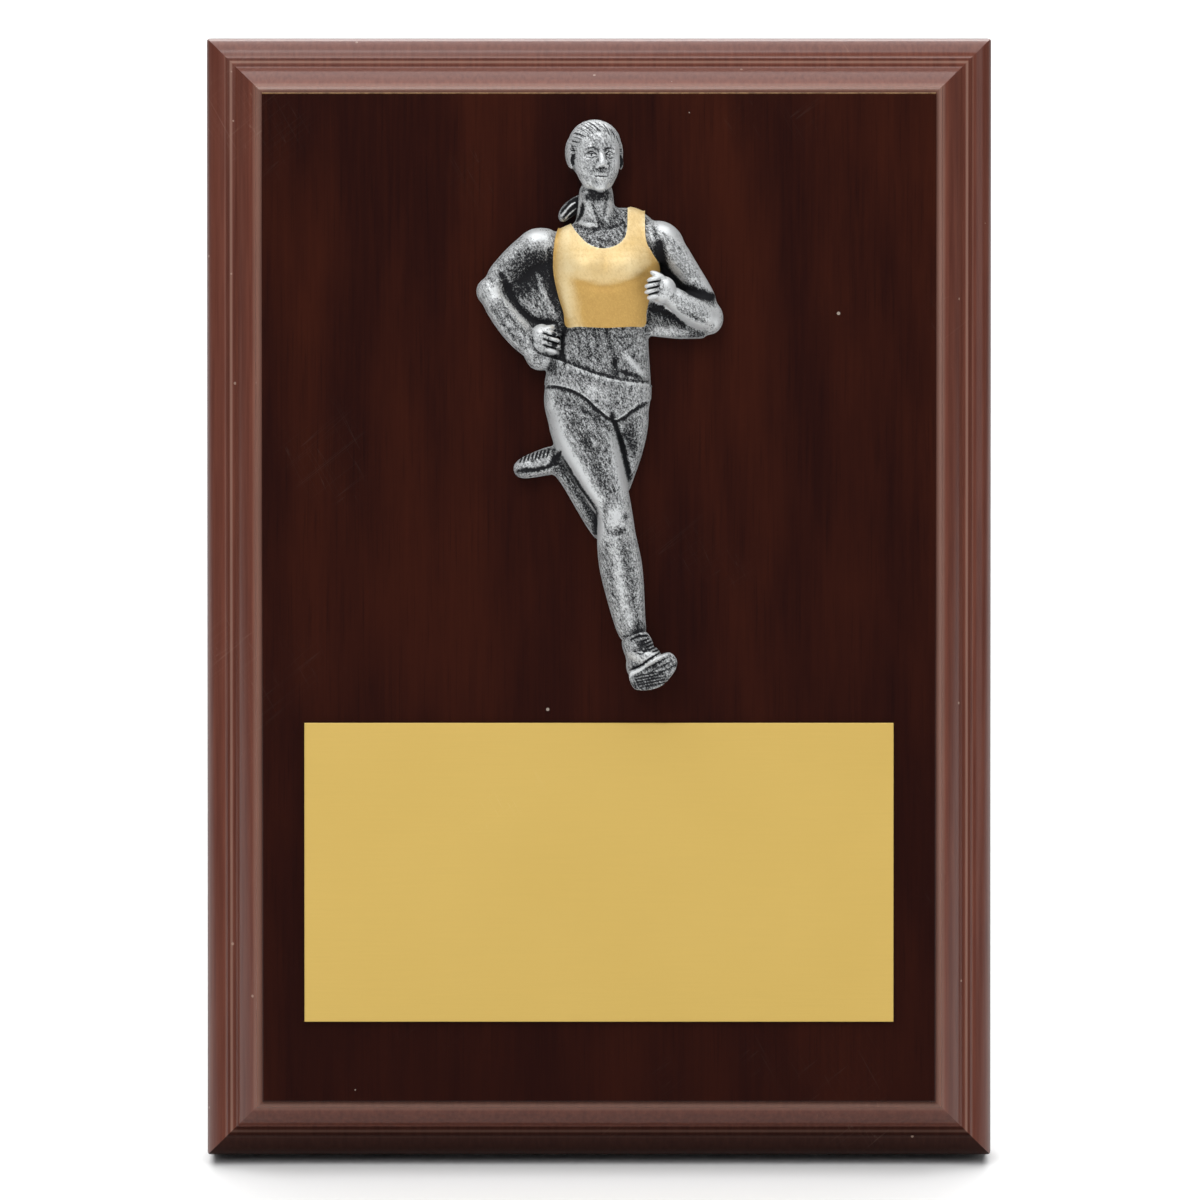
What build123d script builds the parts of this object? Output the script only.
"""A presentation plaque that stands on a folding easel leg, with a runner cast in relief.

Millimetres, +Z up, facing -Y. The row's origin is on the table under the middle of the
whole object. Nearly everything is drawn in the board's own frame: u to the right, v up the
board from its bottom edge, and w out of its front, with w = 0 on the wooden back.
"""
from build123d import *
import math
import os

# Driving dimensions: stance
LEAN = 12.0              # the board leans back from upright
OPENING = 20.0           # angle between the board and the easel leg when open
BOARD_FOOT_Y = -14.53    # where the board's rear bottom edge rests

# Driving dimensions: board and face
BOARD_W = 125.0
BOARD_H = 178.0
BOARD_T = 14.4
CORNER_R = 0.8
MARGIN = 9.3             # width of the moulded edge
VENEER_T = 0.6
FACE_W = BOARD_T + VENEER_T
SIDE_H = 7.2             # plain side below the outer quarter round
OVOLO_R = 3.2
LEDGE_W = 1.3
STEP = 0.3
BEVEL_W = 3.1

# Driving dimensions: engraving plate
PLATE_W = 93.0
PLATE_H = 47.2
PLATE_T = 0.6
PLATE_V = 45.6
TAPE_T = 0.15
TAPE_INSET = 1.5

# Driving dimensions: fixings of the casting
SCREW_SPOTS = ((0.6, 141.0), (1.2, 116.5))
SCREW_R = 1.4
SCREW_HEAD_R = 2.7
SCREW_HEAD_T = 1.7
SCREW_PAST_FACE = 5.0
WASHER_R = 3.6
WASHER_T = 0.6
COUNTERBORE_R = 4.2
COUNTERBORE_T = 4.0
CLEAR_R = 1.6
THREAD_GAP = 0.02

# Driving dimensions: felt, hanger and bumpers
FELT_T = 0.8
FELT_INSET = 3.0
HANGER_V = 160.5
HANGER_W = 38.0
HANGER_H = 15.0
HANGER_T = 1.2
HANGER_ENTRY_R = 4.0
HANGER_SLOT_R = 2.1
HANGER_SLOT_RISE = 5.5
HANGER_ENTRY_DROP = 2.4
HANGER_SCREW_U = 15.0
POCKET_T = 6.0
SMALL_SCREW_R = 1.0
SMALL_SCREW_L = 7.0
SMALL_HEAD_R = 2.0
SMALL_HEAD_T = 0.8
SCREW_POINT = 1.2
BUMPER_R = 5.0
BUMPER_TOP_R = 3.9
BUMPER_T = 5.8
BUMPER_INSET = 12.0

# Driving dimensions: hinge
PIN_V = 105.0
PIN_W = -2.2
PIN_R = 0.8
PIN_RUN_GAP = 0.05
KNUCKLE_R = 1.7
HINGE_W = 24.0
MIDDLE_KNUCKLE_W = 8.0
KNUCKLE_GAP = 0.1
LEAF_T = 0.8
LEAF_H = 13.0
LEAF_SCREW_U = 8.0
LEAF_SCREW_RISE = 7.5
PEEN_R = 1.25
PEEN_T = 0.4

# Driving dimensions: easel leg
LEG_T = 2.4
LEG_TOP_W = 42.0
LEG_FOOT_W = 54.0
LEG_NOTCH_W = 27.0
LEG_NOTCH_DROP = 2.7
HEEL_GAP = 0.05          # left between the heel and the board when open
BOOT_WALL = 0.8
BOOT_H = 9.0
RIVET_R = 1.2
RIVET_HEAD_R = 2.2
RIVET_HEAD_T = 0.6
RIVET_DROP = 9.0
RIVET_U = 6.0

os.makedirs("parts", exist_ok=True)

lean = math.radians(LEAN)
opening = math.radians(OPENING)
splay = opening - lean   # angle between the open leg and upright

board = Plane(
    origin=(0, BOARD_FOOT_Y, 0),
    x_dir=(1, 0, 0),
    z_dir=(0, -math.cos(lean), math.sin(lean)),
)
across = board.x_dir
up_board = board.y_dir


def at(u, v, w):
    """A point of the board's frame in the row's frame."""
    return board.from_local_coords(Vector(u, v, w))


pin_point = at(0, PIN_V, PIN_W)
heel_rise = (-PIN_W - HEEL_GAP) / math.sin(opening)
leg_length = (pin_point.Z - BOOT_WALL * math.sin(splay)) / math.cos(splay)

# The open leg's frame: origin on the hinge axis, x across, y up the leg, z towards the board.
leg = Plane(
    origin=pin_point,
    x_dir=(1, 0, 0),
    z_dir=(0, -math.cos(splay), -math.sin(splay)),
)


def save(part, name):
    """Label a finished piece and write it under its own name."""
    part.label = name
    export_step(part, f"parts/{name}.step")


# ---------------------------------------------------------------- board

def edge_profile(half, flip):
    """Points of the moulded edge on one side, from the back up to the top."""
    bevel_out = OVOLO_R + STEP + LEDGE_W
    steps = [
        (0, 0),
        (0, SIDE_H),
        (OVOLO_R, SIDE_H + OVOLO_R),
        (OVOLO_R + STEP, SIDE_H + OVOLO_R + STEP),
        (bevel_out, SIDE_H + OVOLO_R + STEP),
        (bevel_out + STEP, SIDE_H + OVOLO_R + 2 * STEP),
        (bevel_out + STEP + BEVEL_W, BOARD_T - 2 * STEP),
        (bevel_out + 1.5 * STEP + BEVEL_W, BOARD_T - STEP / 2),
        (bevel_out + 3 * STEP + BEVEL_W, BOARD_T),
    ]
    return [((d - half) * flip, w) for d, w in steps]


def moulded_outline(half):
    """Closed section of the board across one of its directions, with both moulded edges."""
    left = edge_profile(half, 1)
    right = edge_profile(half, -1)
    for points in (left, right):
        Line(points[0], points[1])
        side, top = points[1], points[2]
        turn = math.copysign(OVOLO_R * (1 - math.sqrt(0.5)), top[0] - side[0])
        ThreePointArc(side, (side[0] + turn, side[1] + OVOLO_R * math.sqrt(0.5)), top)
        Polyline(*points[2:6])
        foot, head = points[5], points[6]
        bow_x = (foot[0] + head[0]) / 2 - math.copysign(0.2, head[0] - foot[0])
        ThreePointArc(foot, (bow_x, (foot[1] + head[1]) / 2 + 0.2), head)
        Polyline(*points[6:])
    Line(left[-1], right[-1])
    Line(left[0], right[0])


# Sections across u (normal along v) and across v (normal along u).
section_u = Plane(origin=at(0, 0, 0), x_dir=across, z_dir=up_board * -1)
section_v = Plane(origin=at(0, BOARD_H / 2, 0), x_dir=up_board, z_dir=across)

with BuildPart() as plaque_board:
    with BuildSketch(section_u):
        with BuildLine():
            moulded_outline(BOARD_W / 2)
        make_face()
    extrude(amount=-BOARD_H)
    with BuildSketch(section_v):
        with BuildLine():
            moulded_outline(BOARD_H / 2)
        make_face()
    extrude(amount=BOARD_W, both=True, mode=Mode.INTERSECT)
    with BuildSketch(board):
        with Locations((0, BOARD_H / 2)):
            RectangleRounded(BOARD_W, BOARD_H, CORNER_R)
    extrude(amount=BOARD_T, mode=Mode.INTERSECT)
    # Clearance holes and counterbores for the two screws that hold the casting.
    with BuildSketch(board):
        with Locations(*SCREW_SPOTS):
            Circle(COUNTERBORE_R)
    extrude(amount=COUNTERBORE_T, mode=Mode.SUBTRACT)
    with BuildSketch(board):
        with Locations(*SCREW_SPOTS):
            Circle(CLEAR_R)
    extrude(amount=BOARD_T, mode=Mode.SUBTRACT)
    # Rebate for the hanger plate, and the pocket that a wall screw's head goes into.
    with BuildSketch(board):
        with Locations((0, HANGER_V)):
            SlotOverall(HANGER_W, HANGER_H)
    extrude(amount=HANGER_T, mode=Mode.SUBTRACT)
    with BuildSketch(board.offset(HANGER_T)):
        with Locations((0, HANGER_V + 1.0)):
            SlotOverall(HANGER_H + 4, 2 * HANGER_ENTRY_R + 2, rotation=90)
    extrude(amount=POCKET_T - HANGER_T, mode=Mode.SUBTRACT)
    # Pilot holes of the hanger's and the hinge leaf's screws.
    with BuildSketch(board):
        with Locations((-HANGER_SCREW_U, HANGER_V), (HANGER_SCREW_U, HANGER_V)):
            Circle(SMALL_SCREW_R + THREAD_GAP)
        with Locations(
            (-LEAF_SCREW_U, PIN_V + LEAF_SCREW_RISE),
            (LEAF_SCREW_U, PIN_V + LEAF_SCREW_RISE),
        ):
            Circle(SMALL_SCREW_R + THREAD_GAP)
    extrude(amount=SMALL_SCREW_L + 0.6, mode=Mode.SUBTRACT)
save(plaque_board.part, "plaque_board")

with BuildPart() as face_veneer:
    with BuildSketch(board.offset(BOARD_T)):
        with Locations((0, BOARD_H / 2)):
            Rectangle(BOARD_W - 2 * MARGIN, BOARD_H - 2 * MARGIN)
    extrude(amount=VENEER_T)
    front_edges = face_veneer.faces().sort_by(Axis(board.origin, board.z_dir))[-1].edges()
    chamfer(front_edges, 0.12)
    with BuildSketch(board.offset(BOARD_T)):
        with Locations(*SCREW_SPOTS):
            Circle(CLEAR_R)
    extrude(amount=VENEER_T, mode=Mode.SUBTRACT)
save(face_veneer.part, "face_veneer")

# ---------------------------------------------------------------- engraving plate

with BuildPart() as plate_tape:
    with BuildSketch(board.offset(FACE_W)):
        with Locations((0, PLATE_V)):
            Rectangle(PLATE_W - 2 * TAPE_INSET, PLATE_H - 2 * TAPE_INSET)
    extrude(amount=TAPE_T)
save(plate_tape.part, "plate_tape")

with BuildPart() as engraving_plate:
    with BuildSketch(board.offset(FACE_W + TAPE_T)):
        with Locations((0, PLATE_V)):
            Rectangle(PLATE_W, PLATE_H)
    extrude(amount=PLATE_T)
    top_edges = engraving_plate.faces().sort_by(Axis(board.origin, board.z_dir))[-1].edges()
    chamfer(top_edges, 0.1)
save(engraving_plate.part, "engraving_plate")

# ---------------------------------------------------------------- felt and bumpers

HINGE_WINDOW_W = LEG_TOP_W + 6
HINGE_WINDOW_LOW = PIN_V - 7
HINGE_WINDOW_HIGH = PIN_V + LEAF_H + 3

with BuildPart() as back_lining:
    with BuildSketch(board):
        with Locations((0, BOARD_H / 2)):
            RectangleRounded(BOARD_W - 2 * FELT_INSET, BOARD_H - 2 * FELT_INSET, 2.0)
        with Locations((0, (HINGE_WINDOW_LOW + HINGE_WINDOW_HIGH) / 2)):
            RectangleRounded(
                HINGE_WINDOW_W, HINGE_WINDOW_HIGH - HINGE_WINDOW_LOW, 2.0, mode=Mode.SUBTRACT
            )
        with Locations((0, HANGER_V)):
            RectangleRounded(HANGER_W + 4, HANGER_H + 4, 2.0, mode=Mode.SUBTRACT)
    extrude(amount=-FELT_T)
save(back_lining.part, "back_lining")

bumper_u = BOARD_W / 2 - BUMPER_INSET
bumper_spots = [
    (side * bumper_u, v)
    for side in (-1, 1)
    for v in (BUMPER_INSET, BOARD_H - BUMPER_INSET)
]
with BuildPart() as wall_bumpers:
    for u, v in bumper_spots:
        seat = Plane(origin=at(u, v, -FELT_T), x_dir=across, z_dir=board.z_dir * -1)
        with BuildSketch(seat):
            Circle(BUMPER_R)
        with BuildSketch(seat.offset(BUMPER_T)):
            Circle(BUMPER_TOP_R)
        loft()
save(wall_bumpers.part, "wall_bumpers")

# ---------------------------------------------------------------- hanger and its screws

with BuildPart() as keyhole_hanger:
    with BuildSketch(board):
        with Locations((0, HANGER_V)):
            SlotOverall(HANGER_W - 0.4, HANGER_H - 0.4)
        with Locations((0, HANGER_V - HANGER_ENTRY_DROP)):
            Circle(HANGER_ENTRY_R, mode=Mode.SUBTRACT)
        with Locations((0, HANGER_V - HANGER_ENTRY_DROP + HANGER_SLOT_RISE / 2)):
            SlotCenterToCenter(
                HANGER_SLOT_RISE, 2 * HANGER_SLOT_R, rotation=90, mode=Mode.SUBTRACT
            )
        with Locations((-HANGER_SCREW_U, HANGER_V), (HANGER_SCREW_U, HANGER_V)):
            Circle(SMALL_SCREW_R + THREAD_GAP, mode=Mode.SUBTRACT)
    extrude(amount=HANGER_T)
    for u in (-HANGER_SCREW_U, HANGER_SCREW_U):
        sink = Plane(origin=at(u, HANGER_V, 0), x_dir=across, z_dir=board.z_dir)
        with BuildSketch(sink):
            Circle(SMALL_HEAD_R + THREAD_GAP)
        with BuildSketch(sink.offset(SMALL_HEAD_T)):
            Circle(SMALL_SCREW_R + THREAD_GAP)
        loft(mode=Mode.SUBTRACT)
save(keyhole_hanger.part, "keyhole_hanger")


def disc(plane, radius):
    """A round profile on a plane, for lofts and extrusions made inside a function."""
    with BuildSketch(plane) as profile:
        Circle(radius)
    return profile.sketch


def countersunk_screw(head_point):
    """A small cross-slotted wood screw, head flush at head_point, driven towards the front."""
    seat = Plane(origin=head_point, x_dir=across, z_dir=board.z_dir)
    neck = seat.offset(SMALL_HEAD_T)
    point = seat.offset(SMALL_SCREW_L - SCREW_POINT)
    loft([disc(seat, SMALL_HEAD_R), disc(neck, SMALL_SCREW_R)])
    extrude(disc(neck, SMALL_SCREW_R), amount=SMALL_SCREW_L - SMALL_HEAD_T - SCREW_POINT)
    loft([disc(point, SMALL_SCREW_R), disc(point.offset(SCREW_POINT), 0.2)])
    with BuildSketch(seat) as cross:
        Rectangle(2.2, 0.5)
        Rectangle(0.5, 2.2)
    extrude(cross.sketch, amount=0.6, mode=Mode.SUBTRACT)


with BuildPart() as hanger_screws:
    for u in (-HANGER_SCREW_U, HANGER_SCREW_U):
        countersunk_screw(at(u, HANGER_V, 0))
save(hanger_screws.part, "hanger_screws")

# ---------------------------------------------------------------- casting's screws and washers

washer_w = COUNTERBORE_T - WASHER_T
with BuildPart() as casting_washers:
    with BuildSketch(board.offset(washer_w)):
        with Locations(*SCREW_SPOTS):
            Circle(WASHER_R)
            Circle(CLEAR_R, mode=Mode.SUBTRACT)
    extrude(amount=WASHER_T)
save(casting_washers.part, "casting_washers")

with BuildPart() as casting_screws:
    with BuildSketch(board.offset(washer_w - SCREW_HEAD_T)):
        with Locations(*SCREW_SPOTS):
            Circle(SCREW_HEAD_R)
    extrude(amount=SCREW_HEAD_T)
    head_rims = casting_screws.edges().filter_by(GeomType.CIRCLE)
    chamfer(head_rims.group_by(Axis(board.origin, board.z_dir))[0], 0.4)
    with BuildSketch(board.offset(washer_w - SCREW_HEAD_T)):
        with Locations(*SCREW_SPOTS):
            Rectangle(3.0, 0.7)
            Rectangle(0.7, 3.0)
    extrude(amount=0.9, mode=Mode.SUBTRACT)
    with BuildSketch(board.offset(washer_w)):
        with Locations(*SCREW_SPOTS):
            Circle(SCREW_R)
    extrude(amount=FACE_W + SCREW_PAST_FACE - washer_w)
    tips = casting_screws.edges().filter_by(GeomType.CIRCLE)
    chamfer(tips.group_by(Axis(board.origin, board.z_dir))[-1], 0.8)
save(casting_screws.part, "casting_screws")

# ---------------------------------------------------------------- hinge

middle = MIDDLE_KNUCKLE_W / 2
outer_w = (HINGE_W - MIDDLE_KNUCKLE_W) / 2 - KNUCKLE_GAP
outer_mid = middle + KNUCKLE_GAP + outer_w / 2


def knuckle(centre_u, width, bore):
    """One barrel of the hinge round the pin, with its bore."""
    ring = Plane(origin=pin_point + across * (centre_u - width / 2), x_dir=up_board, z_dir=across)
    extrude(disc(ring, KNUCKLE_R), amount=width)
    extrude(disc(ring, bore), amount=width, mode=Mode.SUBTRACT)


with BuildPart() as hinge_board_leaf:
    # The plate on the wood, with a tongue down to each outer barrel.
    with BuildSketch(board):
        with Locations((0, PIN_V + KNUCKLE_R + 0.6 + (LEAF_H - KNUCKLE_R - 0.6) / 2)):
            RectangleRounded(HINGE_W, LEAF_H - KNUCKLE_R - 0.6, 1.5)
        with Locations((-outer_mid, PIN_V + 2.5), (outer_mid, PIN_V + 2.5)):
            Rectangle(outer_w, 5.0)
    extrude(amount=-LEAF_T)
    for centre in (-outer_mid, outer_mid):
        knuckle(centre, outer_w, PIN_R)
    for u in (-LEAF_SCREW_U, LEAF_SCREW_U):
        sink = Plane(
            origin=at(u, PIN_V + LEAF_SCREW_RISE, -LEAF_T), x_dir=across, z_dir=board.z_dir
        )
        with BuildSketch(sink):
            Circle(SMALL_HEAD_R + THREAD_GAP)
        with BuildSketch(sink.offset(SMALL_HEAD_T)):
            Circle(SMALL_SCREW_R + THREAD_GAP)
        loft(mode=Mode.SUBTRACT)
save(hinge_board_leaf.part, "hinge_board_leaf")

with BuildPart() as board_leaf_screws:
    for u in (-LEAF_SCREW_U, LEAF_SCREW_U):
        countersunk_screw(at(u, PIN_V + LEAF_SCREW_RISE, -LEAF_T))
save(board_leaf_screws.part, "board_leaf_screws")

with BuildPart() as hinge_pin:
    pin_start = Plane(
        origin=pin_point - across * (HINGE_W / 2 + PEEN_T), x_dir=up_board, z_dir=across
    )
    with BuildSketch(pin_start):
        Circle(PEEN_R)
    extrude(amount=PEEN_T)
    with BuildSketch(pin_start.offset(PEEN_T)):
        Circle(PIN_R)
    extrude(amount=HINGE_W)
    with BuildSketch(pin_start.offset(PEEN_T + HINGE_W)):
        Circle(PEEN_R)
    extrude(amount=PEEN_T)
    ends = hinge_pin.edges().filter_by(GeomType.CIRCLE).group_by(Axis.X)
    fillet(ends[0] + ends[-1], 0.3)
save(hinge_pin.part, "hinge_pin")

# ---------------------------------------------------------------- easel leg

with BuildPart() as hinge_leg_leaf:
    leaf_low = -LEAF_H
    with BuildSketch(leg):
        with Locations((0, (leaf_low - LEG_NOTCH_DROP) / 2)):
            RectangleRounded(HINGE_W, LEAF_H - LEG_NOTCH_DROP, 1.5)
        with Locations((0, -3.0)):
            Rectangle(MIDDLE_KNUCKLE_W, 3.6)
        with Locations((-RIVET_U, -RIVET_DROP), (RIVET_U, -RIVET_DROP)):
            Circle(RIVET_R, mode=Mode.SUBTRACT)
    extrude(amount=LEAF_T)
    knuckle(0, MIDDLE_KNUCKLE_W, PIN_R + PIN_RUN_GAP)
save(hinge_leg_leaf.part, "hinge_leg_leaf")

leg_outline = [
    (-LEG_TOP_W / 2, heel_rise),
    (-LEG_NOTCH_W / 2, heel_rise),
    (-LEG_NOTCH_W / 2, -LEG_NOTCH_DROP),
    (LEG_NOTCH_W / 2, -LEG_NOTCH_DROP),
    (LEG_NOTCH_W / 2, heel_rise),
    (LEG_TOP_W / 2, heel_rise),
    (LEG_FOOT_W / 2, -leg_length + BOOT_WALL),
    (-LEG_FOOT_W / 2, -leg_length + BOOT_WALL),
]

with BuildPart() as easel_leg:
    with BuildSketch(leg):
        with BuildLine():
            Polyline(*leg_outline, close=True)
        make_face()
        with Locations((-RIVET_U, -RIVET_DROP), (RIVET_U, -RIVET_DROP)):
            Circle(RIVET_R, mode=Mode.SUBTRACT)
    extrude(amount=-LEG_T)
save(easel_leg.part, "easel_leg")

with BuildPart() as leg_rivets:
    for u in (-RIVET_U, RIVET_U):
        axis_point = leg.from_local_coords(Vector(u, -RIVET_DROP, LEAF_T))
        start = Plane(origin=axis_point, x_dir=across, z_dir=leg.z_dir)
        with BuildSketch(start):
            Circle(RIVET_R)
        extrude(amount=-LEAF_T - LEG_T)
        with BuildSketch(start.offset(-LEAF_T - LEG_T)):
            Circle(RIVET_HEAD_R)
        extrude(amount=-RIVET_HEAD_T)
    rims = leg_rivets.edges().filter_by(GeomType.CIRCLE)
    fillet(rims.group_by(Axis(leg.origin, leg.z_dir))[0], 0.4)
save(leg_rivets.part, "leg_rivets")


def leg_half_width(drop):
    """Half the leg's width at a distance below the hinge axis."""
    share = (drop + heel_rise) / (leg_length - BOOT_WALL + heel_rise)
    return (LEG_TOP_W + (LEG_FOOT_W - LEG_TOP_W) * share) / 2


felt_inset = 0.6
felt_top = -LEG_NOTCH_DROP - 1.0
felt_low = -leg_length + BOOT_WALL + BOOT_H + 0.4
with BuildPart() as leg_lining:
    with BuildSketch(leg.offset(-LEG_T)):
        with BuildLine():
            Polyline(
                (-leg_half_width(-felt_top) + felt_inset, felt_top),
                (leg_half_width(-felt_top) - felt_inset, felt_top),
                (leg_half_width(-felt_low) - felt_inset, felt_low),
                (-leg_half_width(-felt_low) + felt_inset, felt_low),
                close=True,
            )
        make_face()
        with Locations((-RIVET_U, -RIVET_DROP), (RIVET_U, -RIVET_DROP)):
            Circle(RIVET_HEAD_R + 0.5, mode=Mode.SUBTRACT)
    extrude(amount=-FELT_T)
save(leg_lining.part, "leg_lining")

# A rubber boot over the leg's end: an open-topped sleeve that grips the wood.
boot_top = -leg_length + BOOT_WALL + BOOT_H
boot_low = -leg_length
with BuildPart() as leg_boot:
    with BuildSketch(leg.offset(BOOT_WALL)):
        with BuildLine():
            Polyline(
                (-leg_half_width(-boot_top) - BOOT_WALL, boot_top),
                (leg_half_width(-boot_top) + BOOT_WALL, boot_top),
                (LEG_FOOT_W / 2 + BOOT_WALL, boot_low),
                (-LEG_FOOT_W / 2 - BOOT_WALL, boot_low),
                close=True,
            )
        make_face()
    extrude(amount=-LEG_T - 2 * BOOT_WALL)
    sides = leg_boot.edges().filter_by(Axis(leg.origin, leg.z_dir))
    fillet(sides.group_by(Axis.Z)[0], 2.0)
    with BuildSketch(leg):
        with BuildLine():
            Polyline(*leg_outline, close=True)
        make_face()
    extrude(amount=-LEG_T, mode=Mode.SUBTRACT)
save(leg_boot.part, "leg_boot")

# ---------------------------------------------------------------- runner casting
# Rounds of the figure as (u, v, height of its centre above the face, radius), in order along
# each limb, and ellipses of the trunk as (u, v, height, half width, half depth).

TRUNK = (
    (-0.4, 113.0, 1.8, 7.2, 5.2),
    (-0.3, 119.0, 2.0, 8.4, 6.0),
    (0.9, 128.5, 2.0, 6.9, 5.6),
    (1.4, 137.5, 2.6, 8.4, 6.8),
    (0.8, 143.5, 2.0, 9.4, 5.6),
    (-0.2, 148.0, 1.5, 6.0, 3.6),
)
LIMBS = {
    "neck": ((0.0, 145.0, 2.4, 3.4), (-0.6, 150.0, 3.0, 3.0), (-0.4, 154.5, 3.6, 3.0)),
    "left_upper_arm": ((-8.5, 145.0, 2.6, 3.8), (-13.0, 141.5, 3.2, 3.6), (-16.3, 137.4, 3.0, 2.8)),
    "left_forearm": ((-16.6, 137.2, 3.0, 2.6), (-12.9, 132.0, 3.6, 3.1), (-9.2, 128.6, 4.6, 2.2)),
    "right_upper_arm": ((9.0, 145.4, 2.6, 3.7), (13.6, 140.6, 3.2, 3.6), (16.8, 134.6, 3.2, 2.9)),
    "right_forearm": ((17.0, 134.3, 3.4, 2.6), (13.6, 134.8, 5.2, 3.0), (9.9, 137.0, 6.8, 2.1)),
    "right_hand": ((10.9, 136.3, 6.7, 2.3), (8.9, 137.8, 7.0, 2.9), (7.0, 139.2, 6.6, 2.1)),
    "front_thigh": ((-1.8, 117.0, 2.8, 6.2), (-0.6, 109.0, 4.0, 5.6), (2.2, 100.5, 5.4, 3.6)),
    "front_shin": ((2.4, 100.0, 5.4, 3.3), (3.7, 92.6, 5.0, 3.2), (5.8, 82.4, 5.4, 2.3)),
    "front_shoe": ((6.2, 83.0, 4.6, 2.6), (7.6, 79.0, 5.4, 3.9), (8.4, 77.0, 5.8, 2.4)),
    "back_thigh": ((4.3, 115.0, 1.6, 3.4), (4.0, 109.0, 1.4, 3.2), (2.6, 102.0, 1.0, 1.8)),
    "back_shin": ((-0.6, 100.5, 1.0, 1.8), (-3.0, 106.0, 1.2, 2.4), (-6.4, 112.4, 1.6, 1.9)),
    "back_shoe": ((-6.2, 112.3, 1.8, 2.2), (-9.4, 111.4, 2.0, 2.1), (-12.2, 110.0, 1.6, 1.6)),
}
ROUNDS = (
    (-0.2, 159.2, 3.6, 4.7),   # skull
    (0.0, 156.4, 4.0, 4.0),    # jaw
    (-5.0, 151.6, 1.6, 1.8),   # tied hair
    (-8.6, 128.6, 4.8, 3.0),   # hand at the hip
    (-16.5, 137.3, 3.0, 2.95), # elbows
    (16.9, 134.4, 3.3, 3.05),
    (2.3, 100.2, 5.4, 3.7),    # knee
    (8.4, 77.4, 5.8, 2.9),     # toe of the front shoe
    (-12.2, 110.2, 1.6, 1.75), # toe of the back shoe
)
WEBS = (
    ((-10.5, 146.0), (-15.5, 138.0), (-9.0, 128.0), (-3.0, 128.0), (-3.0, 146.0)),
    ((3.0, 131.0), (11.0, 131.0), (15.5, 133.5), (10.0, 146.0), (3.0, 146.0)),
    ((-7.5, 118.0), (-7.0, 112.0), (-2.0, 102.0), (3.0, 100.0), (6.5, 112.0), (7.0, 118.0)),
)
WEB_T = 2.0

with BuildPart() as runner_casting:
    for u, v, rise, half_w, half_d in TRUNK:
        with BuildSketch(Plane(origin=at(u, v, FACE_W + rise), x_dir=across, z_dir=up_board)):
            Ellipse(half_w, half_d)
    loft()
    for stations in LIMBS.values():
        run = at(*stations[-1][:2], FACE_W + stations[-1][2]) - at(
            *stations[0][:2], FACE_W + stations[0][2]
        )
        for u, v, rise, radius in stations:
            with BuildSketch(Plane(origin=at(u, v, FACE_W + rise), z_dir=run)):
                Circle(radius)
        loft()
    for u, v, rise, radius in ROUNDS:
        with Locations(at(u, v, FACE_W + rise)):
            Sphere(radius)
    for points in WEBS:
        with BuildSketch(board.offset(FACE_W)):
            with BuildLine():
                Polyline(*points, close=True)
            make_face()
        extrude(amount=WEB_T)
    split(bisect_by=board.offset(FACE_W), keep=Keep.TOP)
    with BuildSketch(board.offset(FACE_W)):
        with Locations(*SCREW_SPOTS):
            Circle(SCREW_R + THREAD_GAP)
    extrude(amount=SCREW_PAST_FACE + 0.5, mode=Mode.SUBTRACT)
save(runner_casting.part, "runner_casting")

pieces = [
    plaque_board, face_veneer, back_lining, runner_casting, casting_screws, casting_washers,
    plate_tape, engraving_plate, keyhole_hanger, hanger_screws, wall_bumpers,
    hinge_board_leaf, hinge_leg_leaf, hinge_pin, board_leaf_screws,
    easel_leg, leg_lining, leg_boot, leg_rivets,
]
whole = Compound(children=[piece.part for piece in pieces])
print("pin at", pin_point, "leg length", round(leg_length, 3), "heel", round(heel_rise, 3))
print("bounds", whole.bounding_box())
